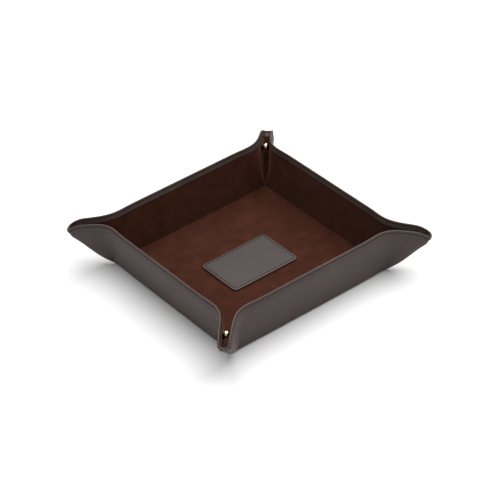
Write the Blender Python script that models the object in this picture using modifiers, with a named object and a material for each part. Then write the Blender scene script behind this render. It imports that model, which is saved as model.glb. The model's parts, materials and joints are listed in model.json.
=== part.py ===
"""A square leather valet tray: a stitched sheet whose four corners are pinched by snaps.

A stiffened square base carries four walls. Past each end of a wall the sheet bends outward
into a gusset, whose tip turns in to meet the tip of the next gusset, and a snap holds the two
gussets face to face. With the snaps open the walls fold outward and the whole tray lies flat.
Metres, +Z up. The origin is at the middle of the underside.
"""
import math

import bmesh
import bpy
from mathutils import Matrix, Vector

# ---- driving dimensions -------------------------------------------------------------------
BASE_HALF = 0.090          # half the side of the square floor, crease to crease
WALL_SLANT = 0.0485        # crease to rim, measured up the slope of the wall
WALL_ANGLE = math.radians(80.0)    # slope of a wall above the table
GUSSET_BEND = math.radians(43.5)   # a gusset bends outward from its wall by this much
TIP_RAY = math.radians(40.0)       # the tip's fold, as a ray from the base corner in the gusset
CORNER_RADIUS = 0.027      # round of the flat sheet's corners

LINING = 0.0007            # suede lining
BOARD = 0.0009             # stiffener inside the floor and the walls
LEATHER = 0.0011           # outer leather
HEM = 0.0008               # skived leather edge, turned over the lining
GAP = 0.0003               # left between touching pieces
HEM_WIDTH = 0.0066         # how far the turned edge reaches down inside
BOARD_INSET = 0.0030       # the board stops this far from a crease
APEX_TRIM = 0.0060         # a gusset starts this far from the base corner
TIP_TRIM = 0.0140          # and a folded tip this far
HEM_FOLD_GAP = 0.0012      # from the tip's fold to the gusset's hem
ARC_STEPS = 10             # segments in a rounded corner

PATCH_SIZE = (0.0530, 0.0760)     # across X and along Y
PATCH_THICK = 0.0016
PATCH_RADIUS = 0.0045

SNAP_OUT = 0.0148          # snap centre beyond the base corner, along X and along Y
SNAP_HEIGHT = 0.0365       # snap centre above the table
SNAP_AXIAL = 24            # segments around a snap
SOCKET_RADIUS = 0.0032
SOCKET_BORE = 0.0023
STUD_RADIUS = 0.0019
FLANGE_RADIUS = 0.0046
FLANGE_FROM = 0.0016       # flanges start this far from the corner's mirror plane
SOCKET_REACH = 0.0013      # the socket crosses the mirror plane by this much
SOCKET_DEPTH = 0.0012      # its bore ends this far behind the mirror plane
STUD_REACH = 0.0008        # the stud crosses the mirror plane by this much
RIVET_RADIUS = 0.0045
RIVET_BARREL = 0.0014
RIVET_HOLE = 0.0018

# ---- what follows from them ---------------------------------------------------------------
# depths below the lining's face
LINING_DEPTH = (0.0, LINING)
BOARD_DEPTH = (LINING + GAP, LINING + GAP + BOARD)
LEATHER_DEPTH = (BOARD_DEPTH[1] + GAP, BOARD_DEPTH[1] + GAP + LEATHER)
THICKNESS = LEATHER_DEPTH[1]
HEM_DEPTH = (-GAP - HEM, -GAP)
RIM_INSET = LEATHER + GAP          # lining and board stop this far inside the sheet's edge

CREASE_RAY = math.radians(45.0)    # the corner crease, where two tips meet
COS_A = math.cos(WALL_ANGLE)
SIN_A = math.sin(WALL_ANGLE)

SIDES = ("right", "back", "left", "front")     # +X, +Y, -X, -Y

COLORS = {
    "leather": ((0.085, 0.065, 0.058), 0.50, 0.0),
    "lining": ((0.062, 0.022, 0.016), 0.95, 0.0),
    "board": ((0.35, 0.28, 0.20), 0.90, 0.0),
    "brass": ((0.72, 0.60, 0.38), 0.28, 1.0),
}


def clear_scene():
    """Remove every object that the file holds."""
    for obj in list(bpy.data.objects):
        bpy.data.objects.remove(obj, do_unlink=True)


def new_collection(name):
    """A collection linked to the scene."""
    group = bpy.data.collections.new(name)
    bpy.context.scene.collection.children.link(group)
    return group


def make_materials():
    """One Principled material for each kind of stuff."""
    made = {}
    for name, (color, roughness, metallic) in COLORS.items():
        material = bpy.data.materials.new(name)
        material.use_nodes = True
        shader = material.node_tree.nodes["Principled BSDF"]
        shader.inputs["Base Color"].default_value = (*color, 1.0)
        shader.inputs["Roughness"].default_value = roughness
        shader.inputs["Metallic"].default_value = metallic
        material.diffuse_color = (*color, 1.0)
        made[name] = material
    return made


def empty(name, parent=None, matrix=None):
    """A pivot: its X axis lies on the joint that it stands for."""
    pivot = bpy.data.objects.new(name, None)
    pivot.empty_display_size = 0.01
    PIVOTS.objects.link(pivot)
    pivot.parent = parent
    if matrix is not None:
        pivot.matrix_local = matrix
    return pivot


def place(obj, parent, matrix=None):
    """Parent an object to a pivot, keeping it in the pivot's own frame."""
    obj.parent = parent
    if matrix is not None:
        obj.matrix_local = matrix
    return obj


# ---- outlines, in a panel's own plane -----------------------------------------------------
def arc(center, radius, start, end, steps=ARC_STEPS):
    """Points along an arc, angles in radians."""
    points = []
    for i in range(steps + 1):
        angle = start + (end - start) * i / steps
        points.append((center[0] + radius * math.cos(angle), center[1] + radius * math.sin(angle)))
    return points


def rectangle(x0, x1, y0, y1):
    """A rectangle's corners, anticlockwise."""
    return [(x0, y0), (x1, y0), (x1, y1), (x0, y1)]


def rounded_rectangle(width, length, radius, steps=6):
    """A rectangle with round corners about the origin."""
    points = []
    quarter = math.pi / 2
    for i, (sx, sy) in enumerate(((1, 1), (-1, 1), (-1, -1), (1, -1))):
        center = (sx * (width / 2 - radius), sy * (length / 2 - radius))
        points += arc(center, radius, i * quarter, (i + 1) * quarter, steps)
    return points


def ray_point(ray, clearance, reach):
    """A point reach metres out along a ray from the base corner, moved clear of it."""
    return (reach * math.cos(ray) + clearance * math.sin(ray),
            reach * math.sin(ray) - clearance * math.cos(ray))


def arc_angle(ray, clearance, radius):
    """Where the sheet's round corner, of this radius, comes within clearance of a ray."""
    center = WALL_SLANT - CORNER_RADIUS
    offset = clearance + center * (math.cos(ray) - math.sin(ray))
    return ray - math.asin(offset / radius)


def free_edge(inset, start, clearance):
    """A gusset's free edge, moved in by inset: straight from y = start, then round as far as
    clearance from the tip's fold."""
    center = WALL_SLANT - CORNER_RADIUS
    radius = CORNER_RADIUS - inset
    last = arc_angle(TIP_RAY, clearance, radius)
    return [(WALL_SLANT - inset, start)] + arc((center, center), radius, 0.0, last)


def gusset_outline(inset, start):
    """The gusset: from the wall's end to the tip's fold, cut short of the base corner."""
    clearance = GAP / 2
    low = ray_point(TIP_RAY, clearance, APEX_TRIM / math.cos(TIP_RAY))
    return [(low[0], start)] + free_edge(inset, start, clearance) + [low]


def tip_outline():
    """The tip: a narrow wedge between its fold and the corner crease."""
    center = WALL_SLANT - CORNER_RADIUS
    clearance = GAP / 2
    first = arc_angle(TIP_RAY, -clearance, CORNER_RADIUS)
    last = arc_angle(CREASE_RAY, clearance, CORNER_RADIUS)
    points = [ray_point(TIP_RAY, -clearance, TIP_TRIM)]
    points += arc((center, center), CORNER_RADIUS, first, last, 4)
    points.append(ray_point(CREASE_RAY, clearance, TIP_TRIM))
    return points


def mirrored(points, side):
    """The outline for a wall's other end."""
    if side > 0:
        return points
    return [(x, -y) for x, y in reversed(points)]


# ---- solids -------------------------------------------------------------------------------
def welded_mesh(curve_object, name):
    """The curve's mesh, with its caps joined to its sides."""
    graph = bpy.context.evaluated_depsgraph_get()
    mesh = bpy.data.meshes.new_from_object(curve_object.evaluated_get(graph))
    mesh.name = name
    shape = bmesh.new()
    shape.from_mesh(mesh)
    bmesh.ops.remove_doubles(shape, verts=shape.verts, dist=1e-6)
    bmesh.ops.recalc_face_normals(shape, faces=shape.faces)
    shape.to_mesh(mesh)
    shape.free()
    return mesh


def plate(name, outlines, depth, material, collection=None):
    """A flat plate between two depths below Z = 0; outlines after the first are holes."""
    curve = bpy.data.curves.new(name, "CURVE")
    curve.dimensions = "2D"
    curve.fill_mode = "BOTH"
    curve.extrude = (depth[1] - depth[0]) / 2
    for outline in outlines:
        spline = curve.splines.new("POLY")
        spline.points.add(len(outline) - 1)
        for point, (x, y) in zip(spline.points, outline):
            point.co = (x, y, 0.0, 1.0)
        spline.use_cyclic_u = True
    drawn = bpy.data.objects.new(name + "_outline", curve)
    bpy.context.scene.collection.objects.link(drawn)
    bpy.context.view_layer.update()
    mesh = welded_mesh(drawn, name)
    bpy.data.objects.remove(drawn, do_unlink=True)
    mesh.transform(Matrix.Translation((0.0, 0.0, -(depth[0] + depth[1]) / 2)))
    mesh.materials.clear()
    mesh.materials.append(material)
    solid = bpy.data.objects.new(name, mesh)
    (collection or PARTS).objects.link(solid)
    return solid


def boolean(target, tool, operation):
    """Cut or join with a tool, which stays in the file as a wire guide."""
    tool.hide_render = True
    tool.display_type = "WIRE"
    step = target.modifiers.new(operation.title(), "BOOLEAN")
    step.operation = operation
    step.solver = "EXACT"
    step.object = tool


def hemmed_plate(name, outline, rim, hem, material, parent):
    """Outer leather whose edge turns up over the layers and down again inside as a hem."""
    solid = place(plate(name, [outline], LEATHER_DEPTH, material), parent)
    rim_depth = (HEM_DEPTH[0], LEATHER_DEPTH[0] + LEATHER / 2)
    for label, band, depth in (("rim", rim, rim_depth), ("hem", hem, HEM_DEPTH)):
        tool = plate(f"{name}_{label}", [band], depth, material, CUTTERS)
        boolean(solid, place(tool, parent), "UNION")
    return solid


def turned(name, profile, material, collection=None):
    """A turned piece about Z, from a closed profile of (radius, height) that starts and ends
    on the axis and runs down its outer side, top to bottom."""
    mesh = bpy.data.meshes.new(name)
    points = [(radius, 0.0, height) for radius, height in profile]
    mesh.from_pydata(points, [(i, i + 1) for i in range(len(points) - 1)], [])
    mesh.materials.append(material)
    solid = bpy.data.objects.new(name, mesh)
    (collection or PARTS).objects.link(solid)
    screw = solid.modifiers.new("Turn", "SCREW")
    screw.axis = "Z"
    screw.steps = SNAP_AXIAL
    screw.render_steps = SNAP_AXIAL
    screw.use_merge_vertices = True
    screw.merge_threshold = 0.00001
    screw.use_smooth_shade = True
    return solid


# ---- sub-parts ----------------------------------------------------------------------------
def make_base():
    """The floor: leather below, board, lining, and the stitched patch on top."""
    top = empty("base_top", None, Matrix.Translation((0.0, 0.0, THICKNESS)))
    layers = (("base_leather", LEATHER_DEPTH, GAP, "leather"),
              ("base_board", BOARD_DEPTH, BOARD_INSET, "board"),
              ("base_lining", LINING_DEPTH, GAP, "lining"))
    for name, depth, inset, kind in layers:
        half = BASE_HALF - inset
        outline = rectangle(-half, half, -half, half)
        place(plate(name, [outline], depth, MATERIALS[kind]), top)
    patch = plate("floor_patch", [rounded_rectangle(*PATCH_SIZE, PATCH_RADIUS)],
                  (-GAP - PATCH_THICK, -GAP), MATERIALS["leather"])
    place(patch, top)
    edge = patch.modifiers.new("Edge", "BEVEL")
    edge.width = 0.0004
    edge.segments = 2
    edge.limit_method = "ANGLE"
    edge.angle_limit = math.radians(60)


def bend_trim(depth):
    """How far a layer stops short of the wall and gusset bend, which closes on the outside."""
    return depth[1] * math.tan(GUSSET_BEND / 2) + GAP / 2


def make_wall(side, pivot):
    """One wall's leather, board and lining, in the wall's frame: X up the slope, Z inward."""
    name = f"wall_{side}"
    half = BASE_HALF - bend_trim(LEATHER_DEPTH)
    top = WALL_SLANT

    def strip(x0, x1, half_length):
        return rectangle(x0, x1, -half_length, half_length)

    hemmed_plate(f"{name}_leather", strip(GAP, top, half), strip(top - LEATHER, top, half),
                 strip(top - HEM_WIDTH, top, half), MATERIALS["leather"], pivot)
    board_half = BASE_HALF - bend_trim(BOARD_DEPTH) - BOARD_INSET
    place(plate(f"{name}_board", [strip(BOARD_INSET, top - RIM_INSET, board_half)], BOARD_DEPTH,
                MATERIALS["board"]), pivot)
    lining_half = BASE_HALF - bend_trim(LINING_DEPTH)
    place(plate(f"{name}_lining", [strip(GAP, top - RIM_INSET, lining_half)], LINING_DEPTH,
                MATERIALS["lining"]), pivot)


def make_gusset(side, toward, end, pivot):
    """One gusset's leather and lining; end is +1 or -1 along the wall."""
    name = f"gusset_{side}_{toward}"
    start = bend_trim(LEATHER_DEPTH)
    outline = gusset_outline(0.0, start)
    outer = free_edge(0.0, start, HEM_FOLD_GAP)
    rim = outer + list(reversed(free_edge(LEATHER, start, HEM_FOLD_GAP)))
    hem = outer + list(reversed(free_edge(HEM_WIDTH, start, HEM_FOLD_GAP)))
    hemmed_plate(f"{name}_leather", mirrored(outline, end), mirrored(rim, end),
                 mirrored(hem, end), MATERIALS["leather"], pivot)
    face = gusset_outline(RIM_INSET, bend_trim(LINING_DEPTH))
    hole = arc(snap_seat(end), RIVET_HOLE, 0.0, 2 * math.pi * 15 / 16, 15)
    place(plate(f"{name}_lining", [mirrored(face, end), hole], LINING_DEPTH,
                MATERIALS["lining"]), pivot)


def make_tip(side, toward, end, pivot):
    """The folded leather tip that closes the corner past one gusset."""
    place(plate(f"tip_{side}_{toward}", [mirrored(tip_outline(), end)], (0.0, THICKNESS),
                MATERIALS["leather"]), pivot)


def wall_frame():
    """The right wall's frame: X up the slope, Y along the crease, Z inward."""
    columns = Matrix(((COS_A, 0.0, -SIN_A), (0.0, 1.0, 0.0), (SIN_A, 0.0, COS_A))).to_4x4()
    return Matrix.Translation((BASE_HALF, 0.0, THICKNESS)) @ columns


def gusset_frame(end):
    """A gusset's frame within its wall's frame."""
    return Matrix.Translation((0.0, end * BASE_HALF, 0.0)) @ Matrix.Rotation(
        -end * GUSSET_BEND, 4, "X")


def tip_bend():
    """How far a tip turns in so that its outer side lies on the corner's mirror plane."""
    gusset = (wall_frame() @ gusset_frame(1)).to_3x3()
    aside = Vector((1.0, -1.0, 0.0)).normalized()
    fold = gusset @ Vector((math.cos(TIP_RAY), math.sin(TIP_RAY), 0.0))
    across = gusset @ Vector((-math.sin(TIP_RAY), math.cos(TIP_RAY), 0.0))
    inward = gusset @ Vector((0.0, 0.0, 1.0))
    # turning by t: fold.cos(w) + (across.cos(t) + inward.sin(t)).sin(w) has no sideways part
    need = -(fold @ aside) / math.tan(CREASE_RAY - TIP_RAY)
    sideways = Vector((across @ aside, inward @ aside))
    phase = math.atan2(sideways.y, sideways.x)
    return phase + math.acos(need / sideways.length)


def tip_frame(end):
    """A tip's frame within its gusset's frame: turned in about the fold."""
    fold = Vector((math.cos(TIP_RAY), end * math.sin(TIP_RAY), 0.0))
    return Matrix.Rotation(end * TIP_BEND, 4, fold)


def snap_axis(end):
    """The snap's frame at the right wall's end: origin on the mirror plane, Z to the gusset."""
    center = Vector((BASE_HALF + SNAP_OUT, end * (BASE_HALF + SNAP_OUT), SNAP_HEIGHT))
    toward = Vector((1.0, -end, 0.0)).normalized()
    up = Vector((0.0, 0.0, 1.0))
    columns = Matrix((up.cross(toward), up, toward)).transposed().to_4x4()
    return Matrix.Translation(center) @ columns


def snap_seat(end):
    """Where the snap's axis meets the gusset, in the gusset's own plane."""
    into = (wall_frame() @ gusset_frame(end)).inverted() @ snap_axis(end)
    origin = into.translation
    along = into.to_3x3() @ Vector((0.0, 0.0, 1.0))
    seat = origin - along * (origin.z / along.z)
    return (seat.x, seat.y)


def make_snap_half(name, profile, end, pivot):
    """A socket or stud, cut flush with its gusset, and the rivet that holds it."""
    in_gusset = (wall_frame() @ gusset_frame(end)).inverted() @ snap_axis(end)
    half = place(turned(name, profile, MATERIALS["brass"]), pivot, in_gusset)
    behind = plate(f"{name}_seat", [rectangle(0.0, WALL_SLANT, -WALL_SLANT, WALL_SLANT)],
                   (-GAP, THICKNESS * 2), MATERIALS["brass"], CUTTERS)
    boolean(half, place(behind, pivot), "DIFFERENCE")
    cap_top = -BOARD_DEPTH[0]
    cap_bottom = -BOARD_DEPTH[1]
    rivet_profile = [(0.0, 0.0), (RIVET_BARREL, 0.0), (RIVET_BARREL, cap_top),
                     (RIVET_RADIUS, cap_top), (RIVET_RADIUS, cap_bottom), (0.0, cap_bottom)]
    rivet = turned(f"{name}_rivet", rivet_profile, MATERIALS["brass"])
    seat = snap_seat(end)
    place(rivet, pivot, Matrix.Translation((seat[0], seat[1], 0.0)))


def socket_profile():
    """Socket with its bore facing the stud; height grows toward its own gusset."""
    back = 0.0060
    return [(0.0, back), (FLANGE_RADIUS, back), (FLANGE_RADIUS, FLANGE_FROM),
            (SOCKET_RADIUS, FLANGE_FROM), (SOCKET_RADIUS, -SOCKET_REACH + 0.0004),
            (SOCKET_RADIUS - 0.0004, -SOCKET_REACH), (SOCKET_BORE, -SOCKET_REACH),
            (SOCKET_BORE, SOCKET_DEPTH), (0.0, SOCKET_DEPTH)]


def stud_profile():
    """Stud with a rounded head; height grows toward its own gusset."""
    back = 0.0060
    return [(0.0, back), (FLANGE_RADIUS, back), (FLANGE_RADIUS, FLANGE_FROM),
            (STUD_RADIUS - 0.0003, FLANGE_FROM), (STUD_RADIUS - 0.0003, 0.0004),
            (STUD_RADIUS, 0.0), (STUD_RADIUS - 0.0005, -STUD_REACH), (0.0, -STUD_REACH)]


def make_side(index):
    """A wall with a gusset and half a snap at each end, turned to its side of the tray."""
    side = SIDES[index]
    following = SIDES[(index + 1) % 4]
    previous = SIDES[(index - 1) % 4]
    turn = Matrix.Rotation(index * math.pi / 2, 4, "Z")
    wall = empty(f"fold_{side}", None, turn @ wall_frame())
    make_wall(side, wall)
    for end, toward in ((1, following), (-1, previous)):
        gusset = empty(f"bend_{side}_{toward}", wall, gusset_frame(end))
        make_gusset(side, toward, end, gusset)
        tip = empty(f"turn_{side}_{toward}", gusset, tip_frame(end))
        make_tip(side, toward, end, tip)
        if end > 0:
            make_snap_half(f"snap_{side}_{toward}_socket", socket_profile(), end, gusset)
        else:
            make_snap_half(f"snap_{toward}_{side}_stud", stud_profile(), end, gusset)


clear_scene()
PARTS = new_collection("valet_tray")
CUTTERS = new_collection("cutters")
PIVOTS = new_collection("pivots")
MATERIALS = make_materials()
TIP_BEND = tip_bend()
make_base()
for number in range(4):
    make_side(number)
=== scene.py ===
import json
import math

import bmesh
import bpy
import numpy as np
from mathutils import Matrix, Vector

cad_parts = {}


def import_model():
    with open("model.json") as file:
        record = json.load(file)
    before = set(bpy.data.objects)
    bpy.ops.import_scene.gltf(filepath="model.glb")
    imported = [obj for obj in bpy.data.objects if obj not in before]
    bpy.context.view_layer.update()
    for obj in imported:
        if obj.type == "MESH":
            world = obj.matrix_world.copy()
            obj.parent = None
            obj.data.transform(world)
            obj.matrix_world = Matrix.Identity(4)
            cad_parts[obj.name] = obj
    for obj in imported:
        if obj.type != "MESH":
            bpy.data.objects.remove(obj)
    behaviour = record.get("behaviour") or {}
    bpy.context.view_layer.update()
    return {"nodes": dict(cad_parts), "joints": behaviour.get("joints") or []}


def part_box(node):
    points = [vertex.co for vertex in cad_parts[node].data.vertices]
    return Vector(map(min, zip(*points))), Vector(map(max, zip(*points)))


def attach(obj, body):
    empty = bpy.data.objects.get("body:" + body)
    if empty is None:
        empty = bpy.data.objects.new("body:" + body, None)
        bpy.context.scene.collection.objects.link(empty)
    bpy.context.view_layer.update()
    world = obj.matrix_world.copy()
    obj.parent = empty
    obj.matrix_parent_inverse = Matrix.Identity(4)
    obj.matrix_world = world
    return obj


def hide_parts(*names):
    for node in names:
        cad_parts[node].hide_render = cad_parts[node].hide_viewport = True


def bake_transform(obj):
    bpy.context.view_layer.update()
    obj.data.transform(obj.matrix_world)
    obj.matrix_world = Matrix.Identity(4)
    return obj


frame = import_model()

# ---------------------------------------------------------------- sizes from the frame
MM = 0.001
SIDES = ("right", "back", "left", "front")
JOINTS = {j["name"]: j for j in frame["joints"]}


def unit(v):
    v = np.asarray(v, float)
    return v / np.linalg.norm(v)


def joint_spot(name):
    return np.array(JOINTS[name]["pos_m"], float)


def joint_axis(name):
    return unit(JOINTS[name]["axis"])


CREASE = joint_spot("fold_right")
HALF = float(CREASE[0])
THICK = float(CREASE[2])
CORNER = joint_spot("bend_right_back")
RISE = joint_axis("bend_right_back")
RISE = RISE * np.sign(RISE[2])
TIP_LINE = joint_axis("turn_right_back")
TIP_LINE = TIP_LINE * np.sign(TIP_LINE[2])
OUTWARD = np.array((RISE[2], 0.0, -RISE[0]))
MIRROR = unit((1.0, -1.0, 0.0))
HEM_PROUD = 0.8 * MM
RIM = float((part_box("wall_right_leather")[1].z - THICK - HEM_PROUD * RISE[0]) / RISE[2])
ROUND = 27.0 * MM
WALL_LEAN = math.atan2(RISE[2], RISE[0])

# ---------------------------------------------------------------- the bent sheet
# Around each base corner the sheet is a cone. A ray's angle is 0 along the crease,
# 90 up the wall's end and 135 on the corner's mirror plane.
# The gusset ends and the tip starts at SPLIT. STEP is the step of the tables below.
STEP = 0.05
LAST = 135.0
SPLIT = 122.0
# A bend is (centre, reach below and above it, total turn), all in degrees.
FOLD_HALVES = (32.0, 28.0)
SWELL = (62.0, (13.0, 13.0), -8.0)
NEWTON_STEPS = 8
NEWTON_NUDGE = 1e-3
TAPER = 10.0 * MM


def bump(angle, centre, halves, total):
    x = (angle - centre) / halves[int(angle > centre)]
    return 0.0 if abs(x) >= 1 else total / sum(halves) * (1 + math.cos(math.pi * x))


def sweep(state, low, high, *bends):
    """The ray, its tangent and the inner normal at each table angle from low to high."""
    g, t, n = (np.array(v, float) for v in state)
    rows = [(g, t, n)]
    count = int(round((high - low) / STEP))
    d = math.radians(STEP)
    for i in range(count):
        a = low + (i + 0.5) * STEP
        g, t = g * math.cos(d) + t * math.sin(d), t * math.cos(d) - g * math.sin(d)
        b = -math.radians(sum(bump(a, *bend) for bend in bends) * STEP)
        t, n = t * math.cos(b) + n * math.sin(b), n * math.cos(b) - t * math.sin(b)
        rows.append((g, t, n))
    return rows


def solve(errors, guess):
    """Two unknowns that bring two errors to nothing, by Newton's method."""
    x = np.array(guess, float)
    for _ in range(NEWTON_STEPS):
        e = np.array(errors(*x))
        nudges = np.eye(2) * NEWTON_NUDGE
        jac = np.array([(np.array(errors(*(x + h))) - e) / NEWTON_NUDGE for h in nudges]).T
        x = x - np.linalg.solve(jac, e)
    return x


FLAT_STATE = ((0.0, -1.0, 0.0), RISE, -OUTWARD)


def gusset_error(total, centre):
    n = sweep(FLAT_STATE, 0.0, SPLIT, SWELL, (centre, FOLD_HALVES, total))[-1][2]
    return n @ RISE, n @ TIP_LINE


GUSSET_BEND, GUSSET_CENTRE = solve(gusset_error, (43.5, 90.0))
lower_rows = sweep(FLAT_STATE, 0.0, SPLIT, SWELL, (GUSSET_CENTRE, FOLD_HALVES, GUSSET_BEND))


def tip_error(total, centre):
    g, _, n = sweep(lower_rows[-1], SPLIT, LAST, (centre, (LAST - centre,) * 2, -total))[-1]
    return g @ MIRROR, n @ MIRROR


TIP_BEND, TIP_CENTRE = solve(tip_error, (70.0, 129.0))
upper_rows = sweep(lower_rows[-1], SPLIT, LAST, (TIP_CENTRE, (LAST - TIP_CENTRE,) * 2, -TIP_BEND))
ROWS = lower_rows + upper_rows[1:]
ANGLES = np.arange(len(ROWS)) * STEP
RAYS = np.array([r[0] for r in ROWS])
NORMALS = np.array([r[2] for r in ROWS])


def at_angle(table, angle):
    return np.stack([np.interp(angle, ANGLES, table[:, i]) for i in range(3)], axis=-1)


def taper(rho):
    return np.sin(0.5 * math.pi * np.clip(rho / TAPER, 0.0, 1.0))


CORNER_SET = THICK * math.tan(WALL_LEAN / 2)
APEX_DROP = np.array((CORNER_SET, CORNER_SET, -THICK))
LIFT = 1.0 * MM
LIFT_REACH = 34.0 * MM


def apex_shift(t, rho):
    """How far the layer at depth t moves towards the outer corner, near the corner."""
    return (np.clip(t, 0.0, THICK) / THICK * (1.0 - taper(rho)))[..., None] * APEX_DROP


def lifted(points):
    """The base's corners stand a little clear of the table."""
    away = HALF - np.abs(points[..., :2])
    d = np.sqrt((away**2).sum(axis=-1) + (points[..., 2] - THICK) ** 2)
    x = np.clip(1.0 - d / LIFT_REACH, 0.0, 1.0)
    out = points.copy()
    out[..., 2] += LIFT * x * x * (3.0 - 2.0 * x)
    return out


SAG = 1.8 * MM
SAG_REACH = 44.0 * MM
SAG_ANGLES = (45.0, 100.0)


def sagged(rho, angle):
    """How far the folded part bellies out near the corner, as thick leather does."""
    x = np.clip(rho / SAG_REACH, 0.0, 1.0)
    a = np.clip((angle - SAG_ANGLES[0]) / (SAG_ANGLES[1] - SAG_ANGLES[0]), 0.0, 1.0)
    # 27/4 makes the highest value of x (1 - x)^2 come to 1
    return SAG * 6.75 * x * (1.0 - x) ** 2 * a * a * (3.0 - 2.0 * a)


def bent(uvt):
    """Points of the right wall's sheet near its corner towards the back.
    u is up the wall, v is past the corner, and t is outward from the lining's face."""
    u, v, t = uvt[..., 0], uvt[..., 1], uvt[..., 2]
    rho = np.hypot(u, v)
    angle = np.degrees(np.arctan2(u, -v))
    out = CORNER + rho[..., None] * at_angle(RAYS, angle)
    out = out + apex_shift(t, rho)
    outward = t * taper(rho) + sagged(rho, angle)
    return out - outward[..., None] * at_angle(NORMALS, angle)


def quarter(k):
    return np.array(Matrix.Rotation(k * math.pi / 2, 3, "Z"))


def placed(points, k, end=1):
    """Points of the right wall, mirrored for its other end, and turned to wall k."""
    points = lifted(points) * np.array((1.0, end, 1.0))
    return points @ quarter(k).T


# ---------------------------------------------------------------- meshes
def make_mesh(name, points, faces, material, others=(), sharp=48.0):
    """others are pairs of another material and the numbers of the faces that take it."""
    mesh = bpy.data.meshes.new(name)
    mesh.from_pydata([tuple(p) for p in np.asarray(points, float)], [], faces)
    mesh.materials.append(material)
    for other, numbers in others:
        mesh.materials.append(other)
        for i in numbers:
            mesh.polygons[i].material_index = len(mesh.materials) - 1
    bm = bmesh.new()
    bm.from_mesh(mesh)
    bmesh.ops.remove_doubles(bm, verts=bm.verts, dist=2e-6)
    bmesh.ops.dissolve_degenerate(bm, edges=bm.edges, dist=1e-6)
    bmesh.ops.recalc_face_normals(bm, faces=bm.faces)
    bm.to_mesh(mesh)
    bm.free()
    mesh.shade_smooth()
    mesh.set_sharp_from_angle(angle=math.radians(sharp))
    obj = bpy.data.objects.new(name, mesh)
    bpy.context.scene.collection.objects.link(obj)
    return obj


def loft(rings):
    """Points and faces of a closed solid through rings of the same length."""
    rings = np.asarray(rings, float)
    count, size = rings.shape[:2]
    faces = []
    for i in range(count - 1):
        for j in range(size):
            a, b = i * size + j, i * size + (j + 1) % size
            faces.append((a, b, b + size, a + size))
    faces.append(tuple(range(size))[::-1])
    faces.append(tuple((count - 1) * size + j for j in range(size)))
    return rings.reshape(-1, 3), faces


def joined(parts):
    points, faces, base = [], [], 0
    for p, f in parts:
        points.append(p)
        faces += [tuple(i + base for i in face) for face in f]
        base += len(p)
    return np.concatenate(points), faces


# ---------------------------------------------------------------- the rim and its stations
ARC = RIM - ROUND
HEM_ZONE = 8.0 * MM
STRIP = 3.0 * MM
MITRE = 1.2
FOOT_RUN = 10.0 * MM
REACH = 42.5 * MM
SEAM_RAY = 122.3


def rim_point(s):
    """Rim point and inward direction in (u, v); s runs along the rim from v = 0."""
    if s <= ARC:
        return np.array((RIM, s)), np.array((-1.0, 0.0))
    b = (s - ARC) / ROUND
    d = np.array((math.cos(b), math.sin(b)))
    return np.array((ARC, ARC)) + ROUND * d, -d


def seam_place():
    low, high = ARC, ARC + ROUND * math.pi / 4
    for _ in range(50):
        mid = 0.5 * (low + high)
        u, v = rim_point(mid)[0]
        if math.degrees(math.atan2(u, -v)) < SEAM_RAY:
            low = mid
        else:
            high = mid
    return low


SEAM = seam_place()
NOSE = ARC + ROUND * math.pi / 4


def foot_point(s):
    """Where the station at s ends below, on the strip's edge or at the corner."""
    edge = -STRIP * MITRE
    if s <= edge:
        return np.array((STRIP, s))
    f = min((s - edge) / FOOT_RUN, 1.0)
    return np.array((STRIP, edge)) * (1.0 - f)


DOWN = (0.0, 0.1, 0.2, 0.3, 0.4, 0.5, 0.6, 0.69, 0.77, 0.84, 0.89, 0.93, 0.96, 0.98, 1.0)


def station(s, profile):
    """A profile of (depth, t) pairs at s: depth in mm from the rim, or past 100 a
    fraction of the way from the hem zone to the station's foot."""
    rim, inward = rim_point(s)
    top = rim + HEM_ZONE * inward
    foot = foot_point(s)
    out = []
    for depth, t in profile:
        if depth >= 100:
            p = top + (depth - 100) * (foot - top)
        else:
            p = rim + depth * MM * inward
        out.append((p[0], p[1], t * MM))
    return out


def full_depth(t, down=True):
    steps = DOWN if down else DOWN[::-1]
    return [(100 + f, t) for f in steps]


# The leather's profile runs up the outside, over the rim, down the hem and back inside it.
OUTER_FACE = [(7.2, 3.12), (6.2, 2.8), (5.0, 2.36), (3.8, 1.94), (3.0, 1.68), (2.45, 1.5)]
OUTER_FACE += [(2.2, 1.4), (1.95, 1.44), (1.7, 1.48), (1.3, 1.42), (0.9, 1.36), (0.55, 1.28)]
EDGE = [(0.2, 1.14), (0.04, 0.92), (0.0, 0.66), (0.0, 0.4), (0.04, 0.06), (0.18, -0.15)]
HEM_FACE = [(0.6, -0.26), (0.95, -0.31), (1.35, -0.34), (1.75, -0.33), (1.95, -0.26)]
HEM_FACE += [(2.2, -0.2), (2.45, -0.26), (2.8, -0.34), (5.8, -0.36), (6.25, -0.33)]
HEM_FACE += [(6.52, -0.24), (6.6, -0.12)]
BACK_FACE = [(6.6, -0.02), (2.0, -0.02), (1.1, 0.2), (0.9, 0.5), (1.1, 0.8), (2.4, 0.95)]
BACK_FACE += [(5.0, 1.45), (7.0, 2.0)]
LEATHER_PROFILE = full_depth(3.3, False) + OUTER_FACE + EDGE + HEM_FACE + BACK_FACE
LEATHER_PROFILE += full_depth(2.2)
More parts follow.
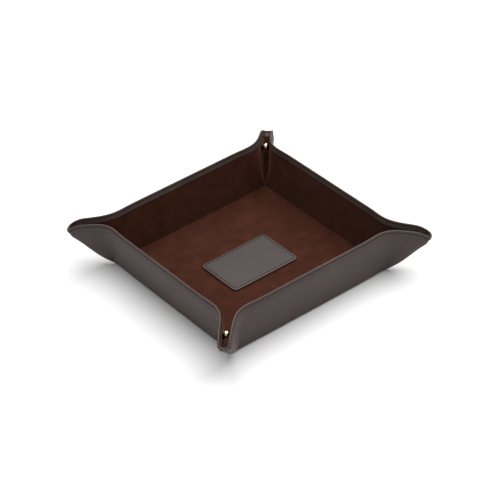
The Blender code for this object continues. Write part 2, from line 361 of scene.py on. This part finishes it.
# places in LEATHER_PROFILE where the rim changes its look, for rim_bands: painted shade on the
# rim's outer top, the burnished edge with a painted highlight line, painted shade on the hem down
# to the stitch line, then the hem's own leather
EDGE_START = len(DOWN) + len(OUTER_FACE) - 1
RIM_PAINTED_SHADE = (EDGE_START + 1, EDGE_START + 3)
EDGE_END = EDGE_START + 7
STITCH_LINE = EDGE_START + 1 + len(EDGE) + 5
HEM_END = EDGE_START + len(EDGE) + len(HEM_FACE)
LINING_PROFILE = (
    full_depth(0.0, False) + [(4.0, 0.0), (1.6, 0.0), (1.6, 0.7), (4.0, 0.7)] + full_depth(0.7)
)
BOARD_PROFILE = [(7.8, 0.8), (7.8, 2.1), (100.4, 2.1), (100.97, 2.1), (100.97, 0.8), (100.4, 0.8)]
FLAT_STATIONS = np.linspace(-REACH, -HALF, 20)
CURVE_STATIONS = np.concatenate(
    (np.linspace(-REACH, ARC, 48), np.linspace(ARC, SEAM, 9)[1:])
)
TIP_STATIONS = np.linspace(SEAM, NOSE, 19)


def sheet_rings(stations, profile):
    return bent(np.array([station(s, profile) for s in stations]))


def solid(stations, profile, k, end):
    return loft(placed(sheet_rings(stations, profile), k, end))


def wall_rings(profile):
    """The wall's middle, from one curved end to the other."""
    right = sheet_rings(FLAT_STATIONS, profile)
    left = right[::-1][1:] * np.array((1.0, -1.0, 1.0))
    return np.concatenate((right, left))


# ---------------------------------------------------------------- materials
def shader(name):
    material = bpy.data.materials.new(name)
    material.use_nodes = True
    nodes, links = material.node_tree.nodes, material.node_tree.links
    return material, nodes, links, nodes["Principled BSDF"]


def node(nodes, kind, **values):
    n = nodes.new(kind)
    for key, value in values.items():
        if key in n.inputs:
            n.inputs[key].default_value = value
        else:
            setattr(n, key.lower(), value)
    return n


def ramp(nodes, *stops):
    n = nodes.new("ShaderNodeValToRGB")
    elements = n.color_ramp.elements
    while len(elements) < len(stops):
        elements.new(0.5)
    for e, (place, colour) in zip(elements, stops):
        e.position = place
        e.color = colour if len(colour) == 4 else (*colour, 1.0)
    return n


def noise(nodes, links, scale, detail=4.0, rough=0.55):
    n = node(nodes, "ShaderNodeTexNoise", Scale=scale, Detail=detail, Roughness=rough)
    links.new(coords(nodes).outputs["Object"], n.inputs["Vector"])
    return n


def coords(nodes):
    found = nodes.get("Object Place")
    if found is None:
        found = nodes.new("ShaderNodeTexCoord")
        found.name = "Object Place"
    return found


def bumps(nodes, links, shader_node, *layers):
    """Chains bump layers of (height output, strength, distance)."""
    last = None
    for height, strength, distance in layers:
        b = node(nodes, "ShaderNodeBump", Strength=strength, Distance=distance)
        links.new(height, b.inputs["Height"])
        if last is not None:
            links.new(last.outputs["Normal"], b.inputs["Normal"])
        last = b
    links.new(last.outputs["Normal"], shader_node.inputs["Normal"])


def toned(nodes, links, source, target, *stops):
    """Drives the target input with a ramp over the source output."""
    tone = ramp(nodes, *stops)
    links.new(source, tone.inputs["Fac"])
    links.new(tone.outputs["Color"], target)


# the two colour inputs and the colour output of a Mix node, which share their names
MIX_A, MIX_B, MIX_RESULT = 6, 7, 2


def speckled(nodes, links, bsdf, slow, tones, fine, speckles):
    """Base colour: a slow noise's tones, multiplied by a fine noise's speckles."""
    mix = nodes.new("ShaderNodeMix")
    mix.data_type = "RGBA"
    mix.blend_type = "MULTIPLY"
    mix.inputs["Factor"].default_value = 1.0
    toned(nodes, links, slow.outputs["Fac"], mix.inputs[MIX_A], *tones)
    toned(nodes, links, fine.outputs["Fac"], mix.inputs[MIX_B], *speckles)
    links.new(mix.outputs[MIX_RESULT], bsdf.inputs["Base Color"])


def leather_material(name, dark, mid, light):
    material, nodes, links, bsdf = shader(name)
    cloud = noise(nodes, links, 22.0, 5.0, 0.6)
    fine = noise(nodes, links, 900.0, 3.0, 0.6)
    tones = ((0.28, dark), (0.52, mid), (0.74, light))
    speckles = ((0.3, (0.80, 0.80, 0.80)), (0.7, (1.12, 1.10, 1.08)))
    speckled(nodes, links, bsdf, cloud, tones, fine, speckles)
    cells = node(nodes, "ShaderNodeTexVoronoi", Scale=780.0)
    cells.feature = "DISTANCE_TO_EDGE"
    links.new(coords(nodes).outputs["Object"], cells.inputs["Vector"])
    crease = ramp(nodes, (0.0, (0, 0, 0)), (0.16, (1, 1, 1)))
    links.new(cells.outputs["Distance"], crease.inputs["Fac"])
    soft = noise(nodes, links, 60.0, 3.0, 0.5)
    gloss = ((0.25, (0.50, 0.50, 0.50)), (0.8, (0.66, 0.66, 0.66)))
    toned(nodes, links, cloud.outputs["Fac"], bsdf.inputs["Roughness"], *gloss)
    bsdf.inputs["Specular IOR Level"].default_value = 0.42
    bumps(
        nodes,
        links,
        bsdf,
        (soft.outputs["Fac"], 0.25, 0.6 * MM),
        (fine.outputs["Fac"], 0.35, 0.08 * MM),
        (crease.outputs["Color"], 0.30, 0.06 * MM),
    )
    return material


def suede_material(name, dark, mid, light):
    material, nodes, links, bsdf = shader(name)
    brush = noise(nodes, links, 75.0, 6.0, 0.68)
    nap = noise(nodes, links, 1500.0, 4.0, 0.7)
    tones = ((0.30, dark), (0.52, mid), (0.72, light))
    speckles = ((0.3, (0.72, 0.72, 0.72)), (0.7, (1.22, 1.20, 1.18)))
    speckled(nodes, links, bsdf, brush, tones, nap, speckles)
    bsdf.inputs["Roughness"].default_value = 0.95
    bsdf.inputs["Specular IOR Level"].default_value = 0.06
    bsdf.inputs["Sheen Weight"].default_value = 0.22
    bsdf.inputs["Sheen Roughness"].default_value = 0.45
    bsdf.inputs["Sheen Tint"].default_value = (0.60, 0.30, 0.20, 1.0)
    bumps(
        nodes,
        links,
        bsdf,
        (brush.outputs["Fac"], 0.12, 0.5 * MM),
        (nap.outputs["Fac"], 0.55, 0.12 * MM),
    )
    return material


def thread_material():
    material, nodes, links, bsdf = shader("waxed_thread")
    twist = node(nodes, "ShaderNodeTexWave", Scale=700.0, Distortion=1.5)
    twist.bands_direction = "DIAGONAL"
    links.new(coords(nodes).outputs["Object"], twist.inputs["Vector"])
    tones = ((0.2, (0.004, 0.003, 0.0025)), (0.8, (0.012, 0.009, 0.008)))
    toned(nodes, links, twist.outputs["Fac"], bsdf.inputs["Base Color"], *tones)
    bsdf.inputs["Roughness"].default_value = 0.7
    bsdf.inputs["Specular IOR Level"].default_value = 0.25
    bumps(nodes, links, bsdf, (twist.outputs["Fac"], 0.5, 0.08 * MM))
    return material


def brass_material(name, dark, light):
    material, nodes, links, bsdf = shader(name)
    wear = noise(nodes, links, 260.0, 4.0, 0.6)
    worn = wear.outputs["Fac"]
    rough = ((0.2, (0.16, 0.16, 0.16)), (0.8, (0.34, 0.34, 0.34)))
    toned(nodes, links, worn, bsdf.inputs["Base Color"], (0.3, dark), (0.7, light))
    toned(nodes, links, worn, bsdf.inputs["Roughness"], *rough)
    bsdf.inputs["Metallic"].default_value = 1.0
    bumps(nodes, links, bsdf, (worn, 0.08, 0.05 * MM))
    return material


def board_material():
    material, nodes, links, bsdf = shader("fibre_board")
    fibre = noise(nodes, links, 400.0, 5.0, 0.7)
    tones = ((0.3, (0.10, 0.075, 0.055)), (0.7, (0.20, 0.155, 0.115)))
    toned(nodes, links, fibre.outputs["Fac"], bsdf.inputs["Base Color"], *tones)
    bsdf.inputs["Roughness"].default_value = 0.85
    bumps(nodes, links, bsdf, (fibre.outputs["Fac"], 0.4, 0.15 * MM))
    return material


LEATHER = leather_material(
    "brown_leather", (0.038, 0.023, 0.019), (0.052, 0.033, 0.028), (0.066, 0.044, 0.038)
)
# the burnished edge's own lighter tan, brightened further as a painted highlight line along the
# rim and the patch's edge
BURNISHED_HIGHLIGHT_LEATHER = leather_material(
    "edge_leather", (0.058, 0.034, 0.026), (0.080, 0.049, 0.037), (0.100, 0.064, 0.049)
)
PATCH_LEATHER = leather_material(
    "patch_leather", (0.028, 0.0196, 0.0181), (0.037, 0.0267, 0.0246), (0.048, 0.0358, 0.0330)
)
SUEDE = suede_material(
    "brown_suede", (0.031, 0.0092, 0.0054), (0.043, 0.0133, 0.0080), (0.058, 0.0186, 0.0114)
)
HEM_LEATHER = leather_material(
    "hem_leather", (0.050, 0.033, 0.028), (0.070, 0.047, 0.040), (0.092, 0.065, 0.056)
)
# a darker copy of the hem leather, for painted shade on the rim's outer top and on the hem above
# the stitch line
PAINTED_SHADE_HEM = leather_material(
    "hem_leather_top", (0.024, 0.015, 0.012), (0.034, 0.022, 0.018), (0.048, 0.032, 0.027)
)
THREAD = thread_material()
BRASS = brass_material("pale_brass", (0.70, 0.60, 0.40), (0.92, 0.84, 0.62))
# a much darker brass than the collar's, for the socket's cap and the stud
DARK_BRASS = brass_material("aged_brass", (0.10, 0.07, 0.04), (0.20, 0.145, 0.085))
BOARD = board_material()


# ---------------------------------------------------------------- stitches
STITCH = 2.0 * MM
PITCH = 3.2 * MM
THREAD_R = 0.55 * MM
STITCH_DEPTH = 2.2 * MM
OUT_STITCH = 1.56 * MM
IN_STITCH = -0.3 * MM
STITCH_BLUNT = 0.6
STITCH_TIP = 0.02


def capsule(across=6, along=4):
    """Rings of one stitch in (along, across, height), pointed in at both ends."""
    rings = []
    for i in range(along * 2 + 1):
        a = -math.pi / 2 + math.pi * i / (along * 2)
        x = 0.5 * STITCH * math.sin(a)
        r = THREAD_R * max(abs(math.cos(a)) ** STITCH_BLUNT, STITCH_TIP)
        turns = [2 * math.pi * j / across for j in range(across)]
        rings.append([(x, r * math.cos(turn), r * math.sin(turn)) for turn in turns])
    return np.array(rings)


def rim_line(s):
    p, inward = rim_point(s)
    return p + STITCH_DEPTH * inward


def run_along(line):
    """The length along a line of points, up to each point."""
    return np.concatenate(([0.0], np.cumsum(np.linalg.norm(np.diff(line, axis=0), axis=1))))


def stitch_places(low, high):
    """Even places along the rim's stitch line from low to high."""
    dense = np.linspace(low, high, 400)
    run = run_along(np.array([rim_line(s) for s in dense]))
    count = max(int(round(run[-1] / PITCH)), 1)
    spots = (np.arange(count) + 0.5) * run[-1] / count
    return np.interp(spots, run, dense)


def rim_stitch(s, height):
    """One stitch on the rim's line, at a height t, as rings in (u, v, t)."""
    here, ahead = rim_line(s), rim_line(s + 1e-5)
    along = unit(ahead - here)
    across = np.array((-along[1], along[0]))
    rings = capsule()
    flat = here + rings[..., :1] * along + rings[..., 1:2] * across
    return np.concatenate((flat, rings[..., 2:] + height), axis=-1)


def rim_stitches(low, high, k, end):
    parts = []
    for s in stitch_places(low, high):
        for height in (OUT_STITCH, IN_STITCH):
            parts.append(loft(placed(bent(rim_stitch(s, height)), k, end)))
    return parts


# ---------------------------------------------------------------- fold strips and base
def strip_section():
    """Cross-section steps over the crease as (kind, amount)."""
    return (
        [("base", x) for x in (-STRIP, -0.6 * STRIP, -0.25 * STRIP)]
        + [("arc", a) for a in np.linspace(0.0, WALL_LEAN, 9)]
        + [("wall", u) for u in (0.25 * STRIP, 0.6 * STRIP, STRIP)]
    )


def strip_line(f, t):
    """Points at depth t over the crease, at a share f of the strip's half length."""
    out = []
    for kind, amount in strip_section():
        if kind == "base":
            y = f * (HALF + amount)
            rho = math.hypot(amount, HALF - abs(y))
            p = np.array((HALF + amount, y, THICK - t * float(taper(rho))))
        elif kind == "arc":
            y = f * HALF
            rho = HALF - abs(y)
            r = t * float(taper(rho))
            p = np.array((HALF + r * math.sin(amount), y, THICK - r * math.cos(amount)))
        else:
            y = f * (HALF - MITRE * amount)
            rho = math.hypot(amount, HALF - abs(y))
            r = t * float(taper(rho))
            p = np.array((HALF, y, THICK)) + amount * RISE + r * OUTWARD
        signs = np.array((1.0, np.sign(y), 1.0))
        out.append(p + apex_shift(np.array(t), np.array(rho)) * signs)
    return np.array(out, float)


# Both the creases and the base have a finer grid near the corners.
END_SHARE = 0.16
STRIP_SHARES = np.concatenate(
    (
        -1 + np.linspace(0, END_SHARE, 17),
        np.linspace(END_SHARE - 1, 1 - END_SHARE, 30)[1:-1],
        1 - np.linspace(END_SHARE, 0, 17),
    )
)


def strip_solid(inner, outer, k):
    rings = [
        np.concatenate((strip_line(f, outer), strip_line(f, inner)[::-1])) for f in STRIP_SHARES
    ]
    return loft(placed(np.array(rings), k))


FINE_EDGE = 14 * MM
BASE_LINES = np.concatenate(
    (
        np.linspace(-HALF + STRIP, -HALF + FINE_EDGE, 12),
        np.linspace(-HALF + FINE_EDGE, HALF - FINE_EDGE, 24)[1:-1],
        np.linspace(HALF - FINE_EDGE, HALF - STRIP, 12),
    )
)


def base_solid(inner, outer):
    """The base's layer between two depths, thinning towards the four corners."""
    x, y = np.meshgrid(BASE_LINES, BASE_LINES, indexing="ij")
    rho = np.hypot(HALF - np.abs(x), HALF - np.abs(y))
    n = len(BASE_LINES)
    signs = np.stack((np.sign(x), np.sign(y), np.ones_like(x)), axis=-1)
    layers = []
    for t in (inner, outer):
        layer = np.stack((x, y, THICK - t * taper(rho)), axis=-1)
        layer = layer + apex_shift(np.full_like(rho, t), rho) * signs
        layers.append(lifted(layer).reshape(-1, 3))
    faces = []
    for side in (0, 1):
        for i in range(n - 1):
            for j in range(n - 1):
                a = side * n * n + i * n + j
                faces.append((a, a + n, a + n + 1, a + 1))
    edge = (
        [i * n for i in range(n)]
        + [(n - 1) * n + j for j in range(1, n)]
        + [i * n + n - 1 for i in range(n - 2, -1, -1)]
        + [j for j in range(n - 2, 0, -1)]
    )
    for a, b in zip(edge, edge[1:] + edge[:1]):
        faces.append((a, b, b + n * n, a + n * n))
    return np.concatenate(layers), faces


# ---------------------------------------------------------------- making the tray
def corner_names(k, end):
    toward = SIDES[(k + 1) % 4] if end > 0 else SIDES[(k - 1) % 4]
    return f"{SIDES[k]}_{toward}"


def world(point, k, end=1):
    return Vector(placed(np.array(point, float), k, end))


def band_faces(ring_count, first, last):
    """The faces of a leather loft between two points of its profile."""
    size = len(LEATHER_PROFILE)
    return [i * size + j for i in range(ring_count - 1) for j in range(first, last)]


# the rim's bands: painted shade, the burnished edge with a painted highlight, painted shade on
# the upper hem, then the hem
def rim_bands(ring_count):
    return (
        (PAINTED_SHADE_HEM, band_faces(ring_count, *RIM_PAINTED_SHADE)),
        (BURNISHED_HIGHLIGHT_LEATHER, band_faces(ring_count, RIM_PAINTED_SHADE[1], EDGE_END)),
        (PAINTED_SHADE_HEM, band_faces(ring_count, EDGE_END, STITCH_LINE)),
        (HEM_LEATHER, band_faces(ring_count, STITCH_LINE, HEM_END)),
    )


LEATHER_SPAN = (2.2 * MM, 3.3 * MM)
LINING_SPAN = (0.0, 0.7 * MM)


def make_base():
    leather = make_mesh("base_outer_leather", *base_solid(*LEATHER_SPAN), LEATHER)
    lining = make_mesh("base_suede", *base_solid(*LINING_SPAN), SUEDE)
    for obj, node_name, slot in (
        (leather, "base_leather", "leather"),
        (lining, "base_lining", "lining"),
    ):
        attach(obj, "base")
        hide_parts(node_name)


CREASE_REACH = 2.2 * MM


def make_crease(k):
    across = unit(RISE + np.array((1.0, 0.0, 0.0))) * CREASE_REACH
    start = world(CREASE - across, k)
    end = world(CREASE + across, k)
    for label, span, material, slot in (
        ("outer_leather", LEATHER_SPAN, LEATHER, "leather"),
        ("suede", LINING_SPAN, SUEDE, "lining"),
    ):
        obj = make_mesh(f"crease_{SIDES[k]}_{label}", *strip_solid(*span, k), material)
        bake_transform(obj)


def wall_solid(profile, k):
    return loft(placed(wall_rings(profile), k))


def make_wall(k):
    body = f"wall_{SIDES[k]}"
    bands = rim_bands(2 * len(FLAT_STATIONS) - 1)
    leather = make_mesh(f"{body}_outer_leather", *wall_solid(LEATHER_PROFILE, k), LEATHER, bands)
    lining = make_mesh(f"{body}_suede", *wall_solid(LINING_PROFILE, k), SUEDE)
    board = make_mesh(f"{body}_stiffener", *wall_solid(BOARD_PROFILE, k), BOARD)
    stitches = []
    for s in stitch_places(-HALF * 2 + REACH, -REACH):
        for height in (OUT_STITCH, IN_STITCH):
            uvt = rim_stitch(s, height)
            flat = (
                np.array((HALF, HALF, THICK))
                + uvt[..., :1] * RISE
                + uvt[..., 1:2] * np.array((0.0, 1.0, 0.0))
                + uvt[..., 2:] * OUTWARD
            )
            stitches.append(loft(placed(flat, k)))
    thread = make_mesh(f"{body}_stitching", *joined(stitches), THREAD)
    for obj, slot in ((leather, "leather"), (lining, "lining"), (board, "board")):
        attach(obj, body)
        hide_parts(f"{body}_{slot}")
    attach(thread, body)


# ends of a blend between pieces, which make_corner turns into points but does not apply: in mm
# past the corner for the wall and its gusset, and as two rays' angles, at a distance from the
# corner, for the gusset and its tip
BEND_FROM, BEND_TO = -6.0 * MM, 4.0 * MM
BEAK_FROM, BEAK_TO, BEAK_RAY = 126.0, 134.5, 48.0 * MM


def make_corner(k, end):
    name = corner_names(k, end)
    wall, gusset, tip = f"wall_{SIDES[k]}", f"gusset_{name}", f"tip_{name}"
    bend_ends = [world(CORNER + np.array((0.0, v, 0.0)), k, end) for v in (BEND_FROM, BEND_TO)]
    beak_ends = [
        world(CORNER + BEAK_RAY * at_angle(RAYS, angle), k, end) for angle in (BEAK_FROM, BEAK_TO)
    ]
    bend = (wall, gusset, *bend_ends)
    beak = (gusset, tip, *beak_ends)
    for label, stations, span, blend, leather_node, lining_node in (
        ("bend", CURVE_STATIONS, (-REACH, SEAM), bend, f"{gusset}_leather", f"{gusset}_lining"),
        ("beak", TIP_STATIONS, (SEAM, NOSE), beak, tip, None),
    ):
        title = f"{label}_{name}"
        outside = solid(stations, LEATHER_PROFILE, k, end)
        inside = solid(stations, LINING_PROFILE, k, end)
        stitches = joined(rim_stitches(*span, k, end))
        bands = rim_bands(len(stations))
        leather = make_mesh(f"{title}_outer_leather", *outside, LEATHER, bands)
        lining = make_mesh(f"{title}_suede", *inside, SUEDE)
        thread = make_mesh(f"{title}_stitching", *stitches, THREAD)
        for obj, replaced, slot in (
            (leather, leather_node, "leather"),
            (lining, lining_node, "lining"),
            (thread, None, None),
        ):
            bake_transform(obj)
            if replaced:
                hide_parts(replaced)


# ---------------------------------------------------------------- the floor patch
PATCH_ROUND = 4.5 * MM
PATCH_STITCH_INSET = 2.4 * MM
PATCH_STITCH_HEIGHT = 1.66 * MM
# (inset, height) in mm from the patch's edge inwards; the groove holds the stitches
PATCH_RINGS = (
    (0.3, 0.0), (0.05, 0.35), (0.0, 0.8), (0.1, 1.2), (0.4, 1.55), (0.9, 1.7), (1.8, 1.7),
    (2.1, 1.66), (2.4, 1.6), (2.7, 1.66), (3.0, 1.7), (3.8, 1.74), (6.0, 1.78), (9.0, 1.82),
    (14.0, 1.84),
)
# the patch's edge rings that take the burnished colour with its painted highlight
PATCH_BURNISH_HIGHLIGHT = (3, 4)


def rounded_loop(half_x, half_y, radius, inset, arc=7, edge=10):
    """A rounded rectangle's loop, inset; the corner's radius shrinks to a small one."""
    hx, hy = half_x - inset, half_y - inset
    r = max(radius - inset, 0.6 * MM)
    points = []
    corners = ((hx, hy, 0), (-hx, hy, 90), (-hx, -hy, 180), (hx, -hy, 270))
    for cx, cy, start in corners:
        ox, oy = cx - math.copysign(r, cx), cy - math.copysign(r, cy)
        for i in range(arc):
            a = math.radians(start + 90 * i / (arc - 1))
            points.append((ox + r * math.cos(a), oy + r * math.sin(a)))
    filled = []
    for i, p in enumerate(points):
        q = points[(i + 1) % len(points)]
        filled.append(p)
        if (i + 1) % arc == 0:
            for j in range(1, edge):
                filled.append(tuple(np.array(p) + (np.array(q) - p) * j / edge))
    return np.array(filled)


def patch_stitches(half_x, half_y, middle):
    """Stitches that follow the patch's edge, round its corners too."""
    loop = rounded_loop(half_x, half_y, PATCH_ROUND, PATCH_STITCH_INSET, arc=9, edge=40)
    loop = np.concatenate((loop, loop[:1]))
    run = run_along(loop)
    count = int(round(run[-1] / PITCH))

    def along_loop(x):
        x = x % run[-1]
        return np.array((np.interp(x, run, loop[:, 0]), np.interp(x, run, loop[:, 1])))

    parts = []
    rings = capsule()
    for i in range(count):
        spot = (i + 0.5) * run[-1] / count
        points = np.zeros(rings.shape)
        for a in range(rings.shape[0]):
            place = spot + rings[a, 0, 0]
            here = along_loop(place)
            d = unit(along_loop(place + 1e-4) - along_loop(place - 1e-4))
            for b in range(rings.shape[1]):
                flat = here + rings[a, b, 1] * np.array((-d[1], d[0]))
                points[a, b] = middle + (flat[0], flat[1], rings[a, b, 2])
        parts.append(loft(points))
    return parts


def make_patch():
    low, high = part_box("floor_patch")
    centre = 0.5 * (low + high)
    hx, hy = 0.5 * (high.x - low.x), 0.5 * (high.y - low.y)
    rings = []
    for inset, z in PATCH_RINGS:
        loop = rounded_loop(hx, hy, PATCH_ROUND, inset * MM)
        z_row = np.full((len(loop), 1), low.z + z * MM)
        rings.append(np.concatenate((loop + np.array((centre.x, centre.y)), z_row), axis=1))
    size = len(rings[0])
    # the patch's burnished edge, with a painted highlight line
    burnish_highlight = [i * size + j for i in PATCH_BURNISH_HIGHLIGHT for j in range(size)]
    edge = [(BURNISHED_HIGHLIGHT_LEATHER, burnish_highlight)]
    patch = make_mesh("floor_patch_leather", *loft(rings), PATCH_LEATHER, edge)
    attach(patch, "base")
    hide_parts("floor_patch")
    middle = np.array((centre.x, centre.y, low.z + PATCH_STITCH_HEIGHT))
    stitches = patch_stitches(hx, hy, middle)
    thread = make_mesh("floor_patch_stitching", *joined(stitches), THREAD)
    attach(thread, "base")


# ---------------------------------------------------------------- the snaps
SNAP_OUT = 14.8 * MM
SNAP_HEIGHT = 36.5 * MM
# profiles of turned pieces, as (along the axis, radius) in mm
SOCKET_RINGS = (
    (3.9, 0.0), (3.9, 3.4), (3.55, 4.3), (3.1, 4.6), (2.7, 4.45), (2.3, 4.0), (1.9, 3.7),
    (1.6, 3.6), (1.6, 2.3), (2.6, 2.2), (2.6, 0.0),
)
COLLAR_RINGS = (
    (1.62, 0.0), (1.62, 3.15), (1.45, 3.3), (0.6, 3.36), (0.25, 3.28), (0.0, 3.34), (-0.65, 3.3),
    (-0.95, 3.1), (-1.05, 2.8), (-1.0, 2.3), (0.9, 2.15), (0.9, 0.0),
)
STUD_RINGS = (
    (3.9, 0.0), (3.9, 3.4), (3.55, 4.3), (3.1, 4.6), (2.7, 4.4), (2.35, 3.8), (2.1, 3.3),
    (1.9, 3.0), (1.8, 1.95), (1.2, 1.7), (0.4, 1.75), (0.0, 1.95), (-0.3, 2.0), (-0.6, 1.85),
    (-0.8, 1.4), (-0.85, 0.0),
)
TURNS = 40


def turned(name, profile, centre, axis, material):
    """A turned solid; the profile is (along the axis, radius) in mm."""
    axis = unit(axis)
    side = unit(np.cross(axis, (0, 0, 1)))
    up = np.cross(side, axis)
    rings = []
    for i in range(TURNS):
        a = 2 * math.pi * i / TURNS
        spoke = math.cos(a) * side + math.sin(a) * up
        rings.append([centre + x * MM * axis + r * MM * spoke for x, r in profile])
    rings = np.array(rings)
    size = len(profile)
    faces = []
    for i in range(TURNS):
        for j in range(size - 1):
            a, b = i * size + j, (i + 1) % TURNS * size + j
            faces.append((a, a + 1, b + 1, b))
    return make_mesh(name, rings.reshape(-1, 3), faces, material, sharp=35.0)


def make_snap(k):
    here, beyond = SIDES[k], SIDES[(k + 1) % 4]
    name = f"{here}_{beyond}"
    centre = quarter(k) @ np.array((HALF + SNAP_OUT, HALF + SNAP_OUT, SNAP_HEIGHT))
    toward_here = quarter(k) @ MIRROR
    socket_body, stud_body = f"gusset_{name}", f"gusset_{beyond}_{here}"
    for label, rings, axis, metal, body, replaced in (
        ("socket_cap", SOCKET_RINGS, toward_here, DARK_BRASS, socket_body, f"snap_{name}_socket"),
        ("socket_collar", COLLAR_RINGS, toward_here, BRASS, socket_body, f"snap_{name}_socket"),
        ("stud", STUD_RINGS, -toward_here, DARK_BRASS, stud_body, f"snap_{name}_stud"),
    ):
        obj = turned(f"snap_{name}_{label}_turned", rings, centre, axis, metal)
        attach(obj, body)
        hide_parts(replaced)


make_base()
make_patch()
for wall_index in range(4):
    make_crease(wall_index)
    make_wall(wall_index)
    make_snap(wall_index)
    for wall_end in (1, -1):
        make_corner(wall_index, wall_end)



def cad_material(name):
    if name.startswith("snap_"):
        return BRASS
    if name.endswith("_board"):
        return BOARD
    return SUEDE if "lining" in name else LEATHER


for cad_name, cad_object in frame["nodes"].items():
    for cad_slot in cad_object.material_slots:
        cad_slot.material = cad_material(cad_name)

# ---------------------------------------------------------------- stage, light and camera
FLOOR_HALF = 6.0
FLOOR_DROP = 0.05 * MM
FLOOR_COLOUR = (0.82, 0.82, 0.82, 1)
SKY_STRENGTH = 0.55
KEY_PLACE = (-0.10, 0.52, 1.48)
KEY_POWER = 42.0
KEY_SIZE = 2.2


def make_floor():
    mesh = bpy.data.meshes.new("stage_floor")
    s = FLOOR_HALF
    mesh.from_pydata([(-s, -s, 0), (s, -s, 0), (s, s, 0), (-s, s, 0)], [], [(0, 1, 2, 3)])
    obj = bpy.data.objects.new("stage_floor", mesh)
    bpy.context.scene.collection.objects.link(obj)
    obj.location.z = -FLOOR_DROP
    material, _, _, bsdf = shader("pale_floor")
    bsdf.inputs["Base Color"].default_value = FLOOR_COLOUR
    bsdf.inputs["Roughness"].default_value = 0.9
    bsdf.inputs["Specular IOR Level"].default_value = 0.1
    mesh.materials.append(material)


def make_key():
    """A soft disk of light that faces the origin."""
    data = bpy.data.lights.new("key", "AREA")
    data.energy = KEY_POWER
    data.shape = "DISK"
    data.size = KEY_SIZE
    obj = bpy.data.objects.new("key", data)
    bpy.context.scene.collection.objects.link(obj)
    obj.location = KEY_PLACE
    obj.rotation_euler = (-Vector(KEY_PLACE)).to_track_quat("-Z", "Y").to_euler()


def make_world():
    world_data = bpy.data.worlds.new("studio")
    bpy.context.scene.world = world_data
    world_data.use_nodes = True
    background = world_data.node_tree.nodes["Background"]
    background.inputs["Color"].default_value = (1, 1, 1, 1)
    background.inputs["Strength"].default_value = SKY_STRENGTH


# the photograph's camera, solved from its perspective; the focal length is in its pixels
AZIMUTH, ELEVATION, ROLL = (math.radians(a) for a in (54.6, 36.43, -4.5))
DISTANCE = 22.6 * HALF
TARGET = Vector((-0.222 * HALF, 0.174 * HALF, 0.0))
SENSOR = 36.0
PHOTO_FOCAL, PHOTO_WIDTH = 2130.0, 500.0


def make_camera():
    ca, sa = math.cos(AZIMUTH), math.sin(AZIMUTH)
    ce, se = math.cos(ELEVATION), math.sin(ELEVATION)
    back = Vector((sa * ce, -ca * ce, se))
    right = Vector((ca, sa, 0))
    up = back.cross(right)
    turned_right = right * math.cos(ROLL) + up * math.sin(ROLL)
    turned_up = up * math.cos(ROLL) - right * math.sin(ROLL)
    data = bpy.data.cameras.new("camera")
    data.sensor_width = SENSOR
    data.lens = PHOTO_FOCAL / PHOTO_WIDTH * SENSOR
    data.clip_start = 0.05
    obj = bpy.data.objects.new("camera", data)
    bpy.context.scene.collection.objects.link(obj)
    rotation = Matrix((turned_right, turned_up, back)).transposed().to_4x4()
    obj.matrix_world = Matrix.Translation(TARGET + back * DISTANCE) @ rotation
    bpy.context.scene.camera = obj


make_floor()
make_world()
make_key()
make_camera()
bpy.context.scene.view_settings.view_transform = "Standard"
